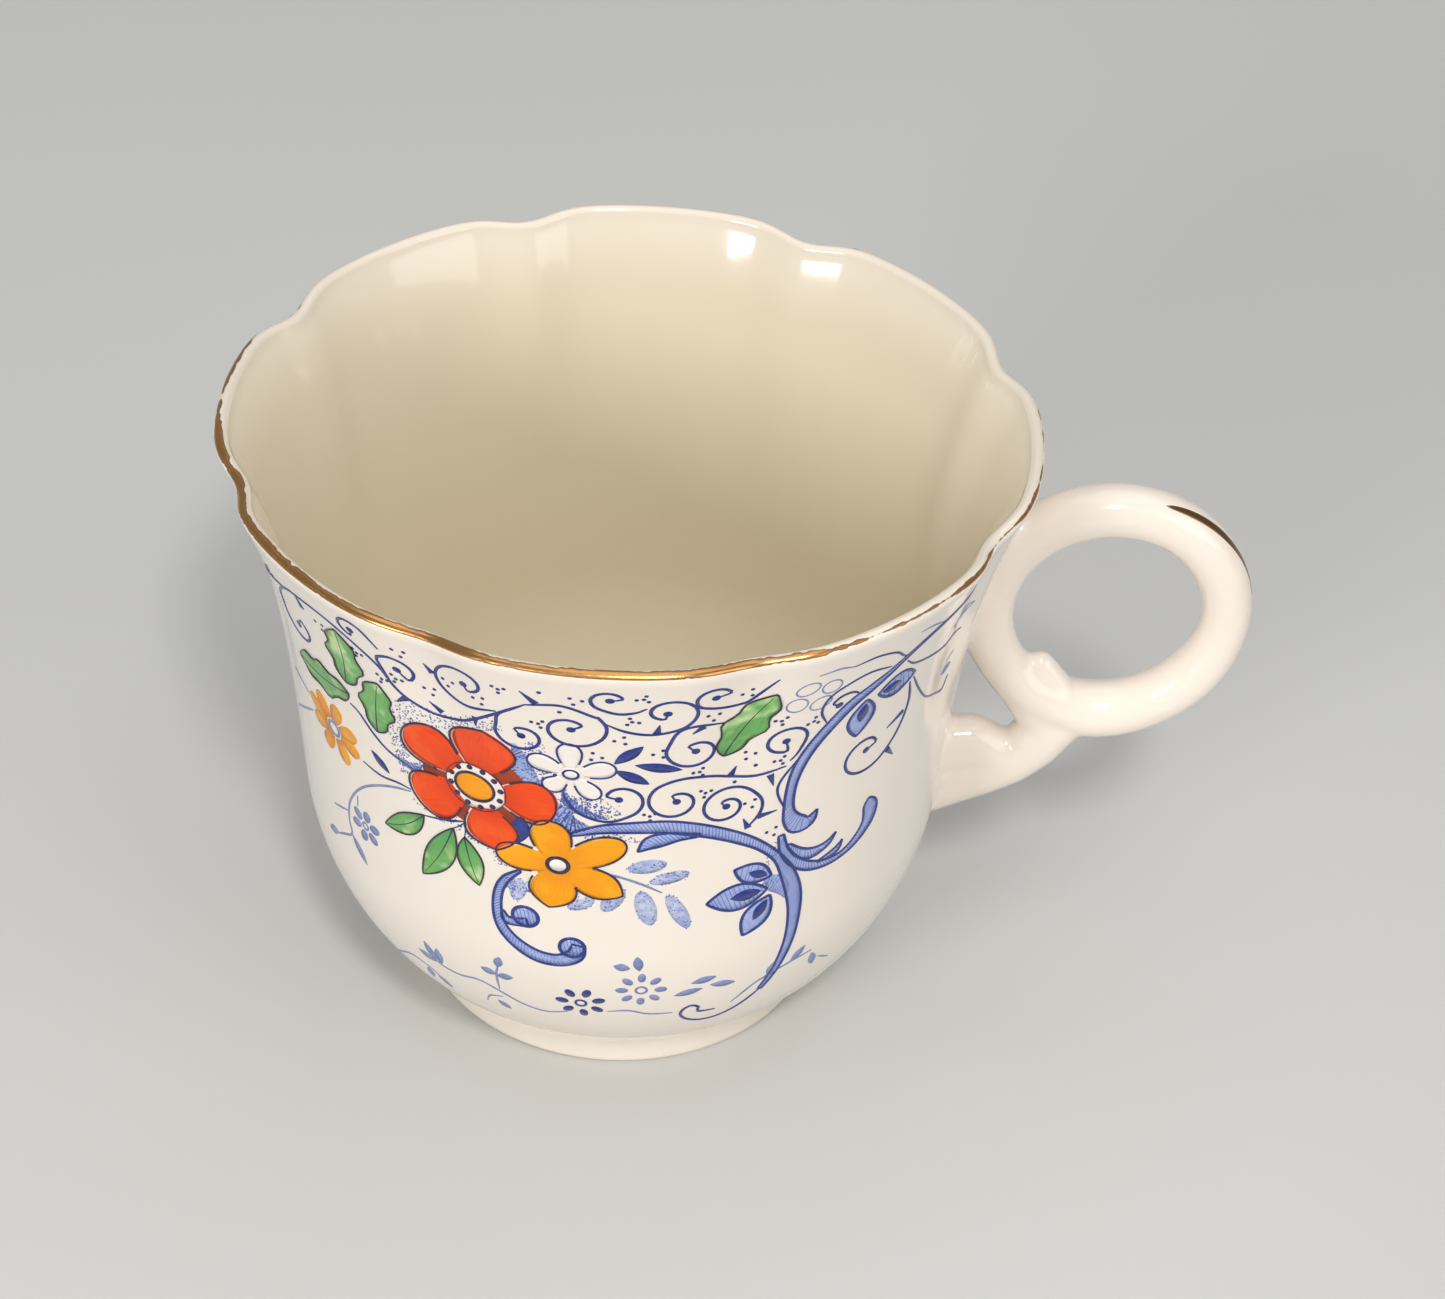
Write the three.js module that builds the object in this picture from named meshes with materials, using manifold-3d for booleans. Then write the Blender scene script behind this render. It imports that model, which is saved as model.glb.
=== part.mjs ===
// Teacup with a scalloped rim and a ring handle.
// Millimetres, +Z up, handle towards +X.
// The origin is the middle of the box's underside, so the bowl's own axis is at x = BOWL_X.

import * as THREE from 'three';
import { mergeVertices } from 'three/addons/utils/BufferGeometryUtils.js';
import Module from 'manifold-3d';

// Driving dimensions.
const RIM_RADIUS = 42.3; // out to the widest part of a scallop
const HEIGHT = 70.4; // table to the top of a scallop
const FOOT_HEIGHT = 4.4;
const FOOT_RADIUS = 22.2; // outside of the foot, up to where it meets the belly
const FOOT_WALL = 3.6;
const FOOT_TAPER = 0.6; // how much thinner the foot is at the table, on its inside
const FOOT_EDGE = 0.5; // chamfer where it stands
const RECESS_DEPTH = 2.6; // hollow under the base, inside the foot
const SHOULDER_RADIUS = 34.7; // outside, where the belly turns into the wall
const SHOULDER_HEIGHT = 28;
const WALL = 2.1;

// Control points of the wall's curves: how full the belly is, and how sharply the rim flares.
const BELLY_LOW = [28, 7.6]; // radius and height, outside
const BELLY_HIGH = [34.2, 17];
const INNER_BELLY_HIGH = [32.2, 16];
const INNER_BELLY_LOW = [25.5, 7.2];
const FLARE_REACH = 14; // height of both flare controls from the ends of the flare
const FLARE_LOW_OUT = 1; // the lower one, out from the shoulder
const FLARE_HIGH_IN = 5.6; // the upper one, in from the rim
const FLARE_WALL = 1.7; // wall thickness at the upper one

const LIP = 1.44; // thickness of the rounded lip
const FLOOR_HEIGHT = 6.6; // inside floor above the table
const FLOOR_RADIUS = 14; // flat part of the inside floor

const SCALLOPS = 8;
const NOTCH_INWARD = 1.3; // how far the rim comes in between two scallops
const NOTCH_DROP = 0.6; // how far it dips there
const NOTCH_SHARPNESS = 6;
const NOTCH_ANGLE = 17.85; // degrees from the handle to the first notch
const FLUTE_FOOT = 36; // height at which the notches have died out

const RING_REACH = 50.9; // bowl axis to the middle of the finger ring
const RING_HEIGHT = 47.4;
const RING_HALF_WIDTH = 12.66; // to the middle of the ring's own section
const RING_HALF_HEIGHT = 13.19;
const RING_SECTION = 2.85; // radius of the ring's round section
const THUMB_KNOB_RADIUS = 2.2; // small knob on the inside of the ring
const THUMB_KNOB_ANGLE = -129;
const THUMB_KNOB_REACH = 10.4;

const ARM_THICKNESS = 5.4; // across the handle
const ARM_ROUNDING = 1.5;

// The arm's outline, from the bowl's axis: its underside, where it meets the ring, and the spur on top.
const ARM_UNDER_START = [31, 21.9];
const ARM_UNDER_BEND = [41.8, 24.2];
const ARM_RING_LOW = [46, 31.2];
const ARM_RING_HIGH = [44.4, 32.6];
const ARM_DIP = [42, 27.6];
const ARM_SPUR_RISE = [38.6, 29.7];
const ARM_SPUR_TOP = [36.8, 30.7];
const ARM_SPUR_BACK = [35.4, 29.7];
const ARM_TOP_START = [31, 29.5];

const JOIN_GAP = 0.3; // left between a handle piece and what it is cut to

const AROUND = 64; // faces round the bowl
const RING_AROUND = 48;
const RING_SIDES = 12;

const RING_END = RING_REACH + RING_HALF_WIDTH + RING_SECTION;
const BOWL_X = (RIM_RADIUS - RING_END) / 2;

// Materials.
const glazed = new THREE.MeshStandardMaterial({ color: 0xf4eee3, roughness: 0.12, metalness: 0 });
const glazedHandle = new THREE.MeshStandardMaterial({ color: 0xf3e9e2, roughness: 0.12, metalness: 0 });

const wasm = await Module();
wasm.setup();

const radians = (degrees) => degrees * Math.PI / 180;
const at = (radius, height) => new THREE.Vector2(radius, height);

// A curve from one point to another with two control points, as a list of points.
function sweep(start, control1, control2, end, steps) {
  return new THREE.CubicBezierCurve(start, control1, control2, end).getPoints(steps);
}

// Only position is kept, so that corners shared by two faces are one vertex.
function closeUp(geometry) {
  geometry.deleteAttribute('normal');
  geometry.deleteAttribute('uv');
  return mergeVertices(geometry, 1e-4);
}

function toSolid(geometry) {
  return new wasm.Manifold(new wasm.Mesh({
    numProp: 3,
    vertProperties: Float32Array.from(geometry.attributes.position.array),
    triVerts: Uint32Array.from(geometry.index.array),
  }));
}

function toGeometry(solid) {
  const mesh = solid.getMesh();
  const geometry = new THREE.BufferGeometry();
  geometry.setAttribute('position', new THREE.BufferAttribute(mesh.vertProperties, 3));
  geometry.setIndex(new THREE.BufferAttribute(mesh.triVerts, 1));
  geometry.computeVertexNormals();
  return geometry;
}

// A turned shape about the bowl's axis, with +Z up.
function turned(profile) {
  const geometry = new THREE.LatheGeometry(profile, AROUND);
  geometry.rotateX(Math.PI / 2);
  return closeUp(geometry);
}

// 0 on a scallop, 1 in the notch between two.
function notch(angle) {
  const phase = SCALLOPS * (angle - radians(NOTCH_ANGLE));
  return ((1 + Math.cos(phase)) / 2) ** NOTCH_SHARPNESS;
}

// Draws the upper wall in, and dips it, at each notch.
function scallop(geometry) {
  const position = geometry.attributes.position;
  for (let i = 0; i < position.count; i += 1) {
    const x = position.getX(i);
    const y = position.getY(i);
    const z = position.getZ(i);
    const radius = Math.hypot(x, y);
    const rise = THREE.MathUtils.smoothstep(z, FLUTE_FOOT, HEIGHT);
    const depth = radius > 0 ? notch(Math.atan2(y, x)) * rise : 0;
    const shrink = 1 - depth * NOTCH_INWARD / Math.max(radius, 1);
    position.setXYZ(i, x * shrink, y * shrink, z - depth * NOTCH_DROP);
  }
  geometry.computeVertexNormals();
  return geometry;
}

// Outside of the bowl, from the foot up to the lip, let out by `grow`.
function outerWall(grow) {
  const belly = sweep(
    at(FOOT_RADIUS + grow, FOOT_HEIGHT),
    at(BELLY_LOW[0] + grow, BELLY_LOW[1] - grow),
    at(BELLY_HIGH[0] + grow, BELLY_HIGH[1] - grow),
    at(SHOULDER_RADIUS + grow, SHOULDER_HEIGHT),
    8,
  );
  const wall = sweep(
    at(SHOULDER_RADIUS + grow, SHOULDER_HEIGHT),
    at(SHOULDER_RADIUS + FLARE_LOW_OUT + grow, SHOULDER_HEIGHT + FLARE_REACH),
    at(RIM_RADIUS - FLARE_HIGH_IN + grow, HEIGHT - FLARE_REACH),
    at(RIM_RADIUS + grow, HEIGHT - LIP / 2),
    9,
  );
  return [...belly, ...wall.slice(1)];
}

function innerWall() {
  const shoulder = at(SHOULDER_RADIUS - WALL, SHOULDER_HEIGHT);
  const wall = sweep(
    at(RIM_RADIUS - LIP, HEIGHT - LIP / 2),
    at(RIM_RADIUS - FLARE_HIGH_IN - FLARE_WALL, HEIGHT - FLARE_REACH),
    at(SHOULDER_RADIUS + FLARE_LOW_OUT - WALL, SHOULDER_HEIGHT + FLARE_REACH),
    shoulder,
    9,
  );
  const floorEdge = at(FLOOR_RADIUS, FLOOR_HEIGHT);
  const belly = sweep(shoulder, at(...INNER_BELLY_HIGH), at(...INNER_BELLY_LOW), floorEdge, 8);
  return [...wall, ...belly.slice(1)];
}

function makeBowl() {
  const recessRadius = FOOT_RADIUS - FOOT_WALL - JOIN_GAP;
  const lip = new THREE.Path();
  lip.absarc(RIM_RADIUS - LIP / 2, HEIGHT - LIP / 2, LIP / 2, 0, Math.PI, false);
  const profile = [
    at(0, RECESS_DEPTH),
    at(recessRadius, RECESS_DEPTH),
    at(recessRadius, FOOT_HEIGHT),
    ...outerWall(0),
    ...lip.getPoints(5).slice(1, -1),
    ...innerWall(),
    at(0, FLOOR_HEIGHT),
  ];
  return scallop(turned(profile));
}

function makeFootRing() {
  const innerTop = FOOT_RADIUS - FOOT_WALL;
  const innerFoot = innerTop + FOOT_TAPER;
  const profile = [
    at(innerFoot + FOOT_EDGE, 0),
    at(FOOT_RADIUS - FOOT_EDGE, 0),
    at(FOOT_RADIUS, FOOT_EDGE),
    at(FOOT_RADIUS, FOOT_HEIGHT),
    at(innerTop, FOOT_HEIGHT),
    at(innerFoot, FOOT_EDGE),
    at(innerFoot + FOOT_EDGE, 0),
  ];
  return turned(profile);
}

// The bowl's outside as a solid block, a little let out, to cut the handle pieces to.
function bowlCutter() {
  const profile = [at(0, FOOT_HEIGHT), ...outerWall(JOIN_GAP), at(0, HEIGHT - LIP / 2)];
  return toSolid(scallop(turned(profile)));
}

function ringGeometry(section) {
  const geometry = new THREE.TorusGeometry(RING_HALF_WIDTH, section, RING_SIDES, RING_AROUND);
  const position = geometry.attributes.position;
  const stretch = RING_HALF_HEIGHT - RING_HALF_WIDTH;
  for (let i = 0; i < position.count; i += 1) {
    const angle = Math.atan2(position.getY(i), position.getX(i));
    position.setY(i, position.getY(i) + stretch * Math.sin(angle));
  }
  geometry.rotateX(Math.PI / 2);
  geometry.translate(RING_REACH, 0, RING_HEIGHT);
  return closeUp(geometry);
}

function thumbKnob() {
  const angle = radians(THUMB_KNOB_ANGLE);
  const geometry = new THREE.SphereGeometry(THUMB_KNOB_RADIUS, 12, 8);
  geometry.translate(
    RING_REACH + THUMB_KNOB_REACH * Math.cos(angle),
    0,
    RING_HEIGHT + THUMB_KNOB_REACH * Math.sin(angle),
  );
  return closeUp(geometry);
}

function makeFingerRing(cutter) {
  const ring = toSolid(ringGeometry(RING_SECTION)).add(toSolid(thumbKnob()));
  return toGeometry(ring.subtract(cutter));
}

// The flat side of the arm from the foot of the ring back to the belly, with its small spur on top.
// The rounding stands out beyond it all round.
function armOutline() {
  const shape = new THREE.Shape();
  shape.moveTo(...ARM_UNDER_START);
  shape.quadraticCurveTo(...ARM_UNDER_BEND, ...ARM_RING_LOW);
  shape.lineTo(...ARM_RING_HIGH);
  shape.quadraticCurveTo(...ARM_DIP, ...ARM_SPUR_RISE);
  shape.quadraticCurveTo(...ARM_SPUR_TOP, ...ARM_SPUR_BACK);
  shape.lineTo(...ARM_TOP_START);
  return shape;
}

function makeLowerArm(cutter) {
  const depth = ARM_THICKNESS - 2 * ARM_ROUNDING;
  const geometry = new THREE.ExtrudeGeometry(armOutline(), {
    depth,
    steps: 1,
    curveSegments: 8,
    bevelEnabled: true,
    bevelThickness: ARM_ROUNDING,
    bevelSize: ARM_ROUNDING,
    bevelSegments: 3,
  });
  geometry.rotateX(Math.PI / 2);
  geometry.translate(0, depth / 2, 0);
  const ringCutter = toSolid(ringGeometry(RING_SECTION + JOIN_GAP));
  return toGeometry(toSolid(closeUp(geometry)).subtract(cutter).subtract(ringCutter));
}

function named(name, geometry, material) {
  const mesh = new THREE.Mesh(geometry, material);
  mesh.name = name;
  return mesh;
}

const cutter = bowlCutter();
const group = new THREE.Group();
group.position.x = BOWL_X;
group.add(named('bowl', makeBowl(), glazed));
group.add(named('foot_ring', makeFootRing(), glazed));
group.add(named('finger_ring', makeFingerRing(cutter), glazedHandle));
group.add(named('lower_arm', makeLowerArm(cutter), glazedHandle));

export default group;
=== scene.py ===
"""A bone china teacup: scalloped gilt rim, ring handle, printed and enamelled flowers and scrolls."""
import bisect
import math
import random

import bmesh
import bpy
from mathutils import Matrix, Vector
from mathutils.bvhtree import BVHTree


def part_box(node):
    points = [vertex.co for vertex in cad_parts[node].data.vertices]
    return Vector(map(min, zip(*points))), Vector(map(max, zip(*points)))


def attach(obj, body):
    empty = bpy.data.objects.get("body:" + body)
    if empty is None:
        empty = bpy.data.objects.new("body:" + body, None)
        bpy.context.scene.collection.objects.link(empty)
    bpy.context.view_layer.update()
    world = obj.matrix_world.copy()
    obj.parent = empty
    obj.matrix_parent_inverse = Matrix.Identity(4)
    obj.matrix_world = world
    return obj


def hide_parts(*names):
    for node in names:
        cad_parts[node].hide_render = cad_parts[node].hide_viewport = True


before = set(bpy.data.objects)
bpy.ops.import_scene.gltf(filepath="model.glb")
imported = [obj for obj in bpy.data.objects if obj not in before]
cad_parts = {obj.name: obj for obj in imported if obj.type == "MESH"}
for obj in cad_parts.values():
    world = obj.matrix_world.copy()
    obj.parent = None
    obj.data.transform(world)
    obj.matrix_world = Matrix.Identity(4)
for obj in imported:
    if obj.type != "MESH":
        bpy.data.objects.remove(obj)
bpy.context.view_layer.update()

MM = 0.001

# ---------------------------------------------------------------- sizes, in millimetres

BOWL_LOW, BOWL_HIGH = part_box("bowl")
FOOT_LOW, FOOT_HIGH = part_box("foot_ring")
RING_LOW, RING_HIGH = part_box("finger_ring")

AXIS_X = (BOWL_LOW[0] + BOWL_HIGH[0]) / 2 / MM  # the bowl's own upright axis
RIM_RADIUS = (BOWL_HIGH[0] - BOWL_LOW[0]) / 2 / MM
HEIGHT = BOWL_HIGH[2] / MM
FOOT_HEIGHT = FOOT_HIGH[2] / MM
FOOT_RADIUS = (FOOT_HIGH[0] - FOOT_LOW[0]) / 2 / MM
FOOT_WALL = 3.6
RECESS_DEPTH = BOWL_LOW[2] / MM
SHOULDER = (34.7, 28.0)  # radius and height where the belly turns into the wall
WALL = 2.1
LIP = 1.44
LIP_MIDDLE = (RIM_RADIUS - LIP / 2, HEIGHT - LIP / 2)
FLOOR = (14.0, 6.6)  # radius and height of the flat floor

SCALLOPS = 8
NOTCH_ANGLE = math.radians(17.85)  # the first notch, round from the handle
NOTCH_INWARD = 1.3
NOTCH_DROP = 0.6
FLUTE_FOOT = 36.0  # height where the notches start to run up the wall

RING_REACH = 50.9  # bowl axis to the middle of the finger ring
RING_HEIGHT = (RING_LOW[2] + RING_HIGH[2]) / 2 / MM
RING_HALF_WIDTH = 12.66
RING_HALF_HEIGHT = 13.19
ARM_ROOT = 25.6  # heights of the middle of the handle's two roots
RING_ROOT = 51.0
PAD = 1.1  # how deep the handle is let into the wall
PRESSED = 0.35  # what stands off the wall by less than this is pressed into it
BEAD_DEPTH = 0.55  # how deep the beads round the roots lie in the wall

AROUND = 320  # faces round the turned pieces
LIP_STEPS = 12
FLAT_RADIUS = 36.0  # the wall is unrolled at this radius to draw the decoration


def clamp(value, low=0.0, high=1.0):
    return max(low, min(high, value))


def smoothstep(value, low, high):
    t = clamp((value - low) / (high - low))
    return t * t * (3 - 2 * t)


# ---------------------------------------------------------------- the turned profile

def cubic(p0, p1, p2, p3, steps):
    """Points on a curve from p0 to p3 with two control points."""
    points = []
    for i in range(steps + 1):
        t = i / steps
        a, b, c, d = (1 - t) ** 3, 3 * t * (1 - t) ** 2, 3 * t * t * (1 - t), t ** 3
        points.append(tuple(a * w + b * x + c * y + d * z for w, x, y, z in zip(p0, p1, p2, p3)))
    return points


def outside_profile(steps):
    belly = cubic((FOOT_RADIUS, FOOT_HEIGHT), (28, 7.6), (34.2, 17), SHOULDER, steps)
    flare = cubic(
        SHOULDER,
        (SHOULDER[0] + 1, SHOULDER[1] + 14),
        (RIM_RADIUS - 5.6, HEIGHT - 14),
        (RIM_RADIUS, HEIGHT - LIP / 2),
        steps,
    )
    return belly + flare[1:]


def inside_profile(steps):
    shoulder = (SHOULDER[0] - WALL, SHOULDER[1])
    flare = cubic(
        (RIM_RADIUS - LIP, HEIGHT - LIP / 2),
        (RIM_RADIUS - 5.6 - 1.7, HEIGHT - 14),
        (SHOULDER[0] + 1 - WALL, SHOULDER[1] + 14),
        shoulder,
        steps,
    )
    belly = cubic(shoulder, (32.2, 16), (25.5, FLOOR[1] + 0.6), FLOOR, steps)
    return flare + belly[1:]


def notch(angle):
    """0 on a scallop, 1 in the notch between two."""
    return ((1 + math.cos(SCALLOPS * (angle - NOTCH_ANGLE))) / 2) ** 6


def scalloped(radius, angle, height):
    """A point of the bowl, in metres, drawn in and dipped where a notch runs down the wall."""
    depth = notch(angle) * smoothstep(height, FLUTE_FOOT, HEIGHT)
    radius -= NOTCH_INWARD * depth
    height -= NOTCH_DROP * depth
    return Vector((AXIS_X + radius * math.cos(angle), radius * math.sin(angle), height)) * MM


OUTSIDE = outside_profile(160)
OUTSIDE_HEIGHTS = [z for _, z in OUTSIDE]
OUTSIDE_LENGTHS = [0.0]
for (r_low, z_low), (r_high, z_high) in zip(OUTSIDE, OUTSIDE[1:]):
    OUTSIDE_LENGTHS.append(OUTSIDE_LENGTHS[-1] + math.hypot(r_high - r_low, z_high - z_low))


def outside_at(up):
    """Radius, height and outward slope of the wall, `up` millimetres along it from the foot."""
    i = clamp(bisect.bisect_right(OUTSIDE_LENGTHS, up) - 1, 0, len(OUTSIDE) - 2)
    span = OUTSIDE_LENGTHS[i + 1] - OUTSIDE_LENGTHS[i]
    t = (up - OUTSIDE_LENGTHS[i]) / span
    (r0, z0), (r1, z1) = OUTSIDE[i], OUTSIDE[i + 1]
    return r0 + (r1 - r0) * t, z0 + (z1 - z0) * t, ((z1 - z0) / span, -(r1 - r0) / span)


def on_wall(along, up, lift, turn):
    """From the unrolled wall to the cup: millimetres round from the handle, up from the foot, off it."""
    radius, height, (out, rise) = outside_at(up)
    return scalloped(radius, along / FLAT_RADIUS + turn, height) + Vector((
        out * math.cos(along / FLAT_RADIUS + turn),
        out * math.sin(along / FLAT_RADIUS + turn),
        rise,
    )) * lift * MM


def outside_radius(height):
    i = clamp(bisect.bisect_right(OUTSIDE_HEIGHTS, height) - 1, 0, len(OUTSIDE) - 2)
    (r0, z0), (r1, z1) = OUTSIDE[i], OUTSIDE[i + 1]
    return r0 + (r1 - r0) * clamp((height - z0) / (z1 - z0))


def off_wall(point):
    """How far a point stands off the outside of the bowl, in millimetres; less than 0 is in the wall."""
    x, y, z = point.x / MM - AXIS_X, point.y / MM, point.z / MM
    depth = notch(math.atan2(y, x)) * smoothstep(z, FLUTE_FOOT, HEIGHT)
    return math.hypot(x, y) + NOTCH_INWARD * depth - outside_radius(z + NOTCH_DROP * depth)


# ---------------------------------------------------------------- mesh helpers

def finish_piece(name, bm, material, replaces=(), smooth=True, thickness=0.0):
    mesh = bpy.data.meshes.new(name)
    bm.to_mesh(mesh)
    bm.free()
    if smooth:
        mesh.polygons.foreach_set("use_smooth", [True] * len(mesh.polygons))
    mesh.materials.append(material)
    piece = bpy.data.objects.new(name, mesh)
    bpy.context.collection.objects.link(piece)
    if thickness:
        shell = piece.modifiers.new("thickness", "SOLIDIFY")
        shell.thickness = thickness * MM
        shell.offset = -1
        flat = piece.modifiers.new("flat faces lead", "WEIGHTED_NORMAL")
        flat.weight = 80
    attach(piece, "root")
    if replaces:
        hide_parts(*replaces)
    return piece


def spun(profile, closed):
    """A profile of (radius, height) spun round the bowl's axis."""
    bm = bmesh.new()
    corners = [bm.verts.new(((AXIS_X + r) * MM, 0, z * MM)) for r, z in profile]
    edges = [bm.edges.new(pair) for pair in zip(corners, corners[1:])]
    if closed:
        edges.append(bm.edges.new((corners[-1], corners[0])))
    bmesh.ops.spin(
        bm,
        geom=corners + edges,
        axis=(0, 0, 1),
        cent=(AXIS_X * MM, 0, 0),
        angle=math.tau,
        steps=AROUND,
        use_merge=True,
    )
    bmesh.ops.remove_doubles(bm, verts=bm.verts, dist=0.002 * MM)
    bmesh.ops.recalc_face_normals(bm, faces=bm.faces)
    return bm


# ---------------------------------------------------------------- materials

class Value:
    """A shader socket that plain arithmetic can be written with."""

    def __init__(self, finish, socket):
        self.finish = finish
        self.socket = socket

    def maths(self, operation, *inputs):
        return self.finish.node("ShaderNodeMath", {"operation": operation}, dict(enumerate(inputs)))

    def __add__(self, other):
        return self.maths("ADD", self, other)

    __radd__ = __add__

    def __mul__(self, other):
        return self.maths("MULTIPLY", self, other)

    __rmul__ = __mul__

    def __sub__(self, other):
        return self.maths("SUBTRACT", self, other)

    def __rsub__(self, other):
        return self.maths("SUBTRACT", other, self)

    def __pow__(self, power):
        return self.maths("POWER", self, power)

    def __gt__(self, edge):
        return self.maths("GREATER_THAN", self, edge)

    def __lt__(self, edge):
        return self.maths("LESS_THAN", self, edge)

    def size(self):
        return self.maths("ABSOLUTE", self)

    def limited(self):
        return self.maths("MINIMUM", self.maths("MAXIMUM", self, 0.0), 1.0)


class Finish:
    """One material, built from nodes."""

    def __init__(self, name, **constants):
        self.material = bpy.data.materials.new(name)
        self.material.use_nodes = True
        self.tree = self.material.node_tree
        self.shader = self.tree.nodes["Principled BSDF"]
        for socket, constant in constants.items():
            self.shader.inputs[socket.replace("_", " ")].default_value = constant

    def node(self, kind, settings=None, inputs=None, output=0):
        made = self.tree.nodes.new(kind)
        for key, setting in (settings or {}).items():
            setattr(made, key, setting)
        for key, value in (inputs or {}).items():
            self.feed(made.inputs[key], value)
        return Value(self, made.outputs[output])

    def feed(self, socket, value):
        if isinstance(value, Value):
            self.tree.links.new(value.socket, socket)
        else:
            socket.default_value = value

    def surface(self, **links):
        for socket, value in links.items():
            self.feed(self.shader.inputs[socket.replace("_", " ")], value)
        return self.material

    def place(self):
        """Where a point is on the object, in metres."""
        return self.node("ShaderNodeTexCoord", output="Object")

    def drawn(self):
        """Across a brush stroke, from -1 to 1, and along it from 0 to 1."""
        uv = self.node("ShaderNodeTexCoord", output="UV")
        across = self.node("ShaderNodeSeparateXYZ", inputs={0: uv}, output="X")
        along = self.node("ShaderNodeSeparateXYZ", inputs={0: uv}, output="Y")
        return across * 2.0 - 1.0, along

    def grain(self, scale, detail=2.0, roughness=0.5, where=None):
        """Cloudy noise, 0.5 on average."""
        return self.node("ShaderNodeTexNoise", inputs={
            "Vector": where or self.place(),
            "Scale": scale,
            "Detail": detail,
            "Roughness": roughness,
        })

    def blend(self, amount, first, second):
        return self.node(
            "ShaderNodeMix",
            {"data_type": "RGBA"},
            {0: amount, 6: colour(first), 7: colour(second)},
            output=2,
        )

    def spread(self, value, low, high):
        """Stretches low..high to 0..1."""
        return self.node("ShaderNodeMapRange", inputs={"Value": value, "From Min": low, "From Max": high})

    def bumped(self, height, strength, depth):
        """A surface normal roughened by a height, `depth` millimetres deep."""
        return self.node("ShaderNodeBump", inputs={
            "Height": height,
            "Strength": strength,
            "Distance": depth * MM,
        })


def colour(value):
    return value if isinstance(value, Value) else (*value, 1)


CREAM = (0.86, 0.785, 0.70)
CREAM_DEEP = (0.81, 0.725, 0.63)
# A deeper tint mixed in where a piece asks for it: within the cup partly the glaze's own deeper tone and
# partly painted shade, and painted shade in the crease round the foot.
SHADE_AND_TONE_COLOUR = (0.74, 0.66, 0.50)
SPECK = (0.28, 0.19, 0.11)
WHITE_LIGHT = (0.86, 0.80, 0.75)
WHITE_DEEP = (0.82, 0.74, 0.68)
GOLD = (0.66, 0.34, 0.12)
GOLD_EDGE = (0.13, 0.055, 0.03)


def glaze(name, light=CREAM, deep=CREAM_DEEP):
    """Clear glaze over warm bone china: cloudy to the eye only close up, with a few iron specks."""
    finish = Finish(name, IOR=1.5, Specular_IOR_Level=0.5, Coat_Weight=0.35, Coat_Roughness=0.04)
    cloud = finish.spread(finish.grain(38.0, 3.0), 0.35, 0.7)
    body = finish.blend(cloud * 0.35, light, deep)
    # How much of that deeper tint to mix in: painted shade, and within the cup partly the glaze's own tone;
    # iron specks are kept off it.
    deep_tone_and_shade = finish.node("ShaderNodeAttribute", {"attribute_name": "tint_and_shade"}, output="Fac")
    cells = finish.node("ShaderNodeTexVoronoi", inputs={"Vector": finish.place(), "Scale": 160.0})
    speck = (cells < 0.045) * (finish.grain(25.0, 0.0) > 0.6) * (1.0 - deep_tone_and_shade)
    body = finish.blend(speck * 0.55, finish.blend(deep_tone_and_shade, body, SHADE_AND_TONE_COLOUR), SPECK)
    fine = finish.grain(420.0, 2.0)
    ripple = finish.grain(90.0, 1.0)
    return finish.surface(
        Base_Color=body,
        Roughness=0.085 + 0.05 * fine,
        Normal=finish.bumped(ripple, 0.12, 0.12),
    )


def print_paint(name, dark, light, mottle=0.6):
    """Printed colour under the glaze, a little uneven where the transfer took less."""
    finish = Finish(name, IOR=1.45, Specular_IOR_Level=0.35, Coat_Weight=0.05, Coat_Roughness=0.05)
    patch = finish.spread(finish.grain(260.0, 3.0), 0.42, 0.72)
    fine = finish.spread(finish.grain(1500.0, 2.0), 0.4, 0.7)
    amount = (patch * 0.4 * mottle + fine * mottle * 0.5).limited()
    return finish.surface(
        Base_Color=finish.blend(amount, dark, light),
        Roughness=0.12 + 0.08 * fine,
        Normal=finish.bumped(finish.grain(90.0, 1.0), 0.12, 0.12),
    )


def enamel(name, bright, deep, pale, bareness=0.35):
    """Hand-laid enamel: deeper at the root of each petal, brush streaks along it, thin at the edge."""
    finish = Finish(name, IOR=1.45, Specular_IOR_Level=0.3, Coat_Weight=0.05, Coat_Roughness=0.06)
    across, along = finish.drawn()
    root = finish.spread(along, 0.55, 0.1)
    streak_place = finish.node("ShaderNodeCombineXYZ", inputs={0: across * 5.0, 1: along * 0.8, 2: 0.0})
    streak = finish.spread(finish.grain(3.0, 3.0, where=streak_place), 0.42, 0.68)
    wash = finish.spread(finish.grain(180.0, 2.0), 0.4, 0.75)
    amount = (root ** 1.6 * 0.6 + streak * 0.3 * (1.0 - root * 0.5) + wash * 0.2).limited()
    thin = finish.spread(finish.grain(330.0, 2.0), 0.52, 0.66) * (1.0 - root) * bareness
    return finish.surface(
        Base_Color=finish.blend(thin, finish.blend(amount, bright, deep), pale),
        Roughness=0.16 + 0.1 * wash,
        Normal=finish.bumped(streak, 0.15, 0.03),
    )


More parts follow.
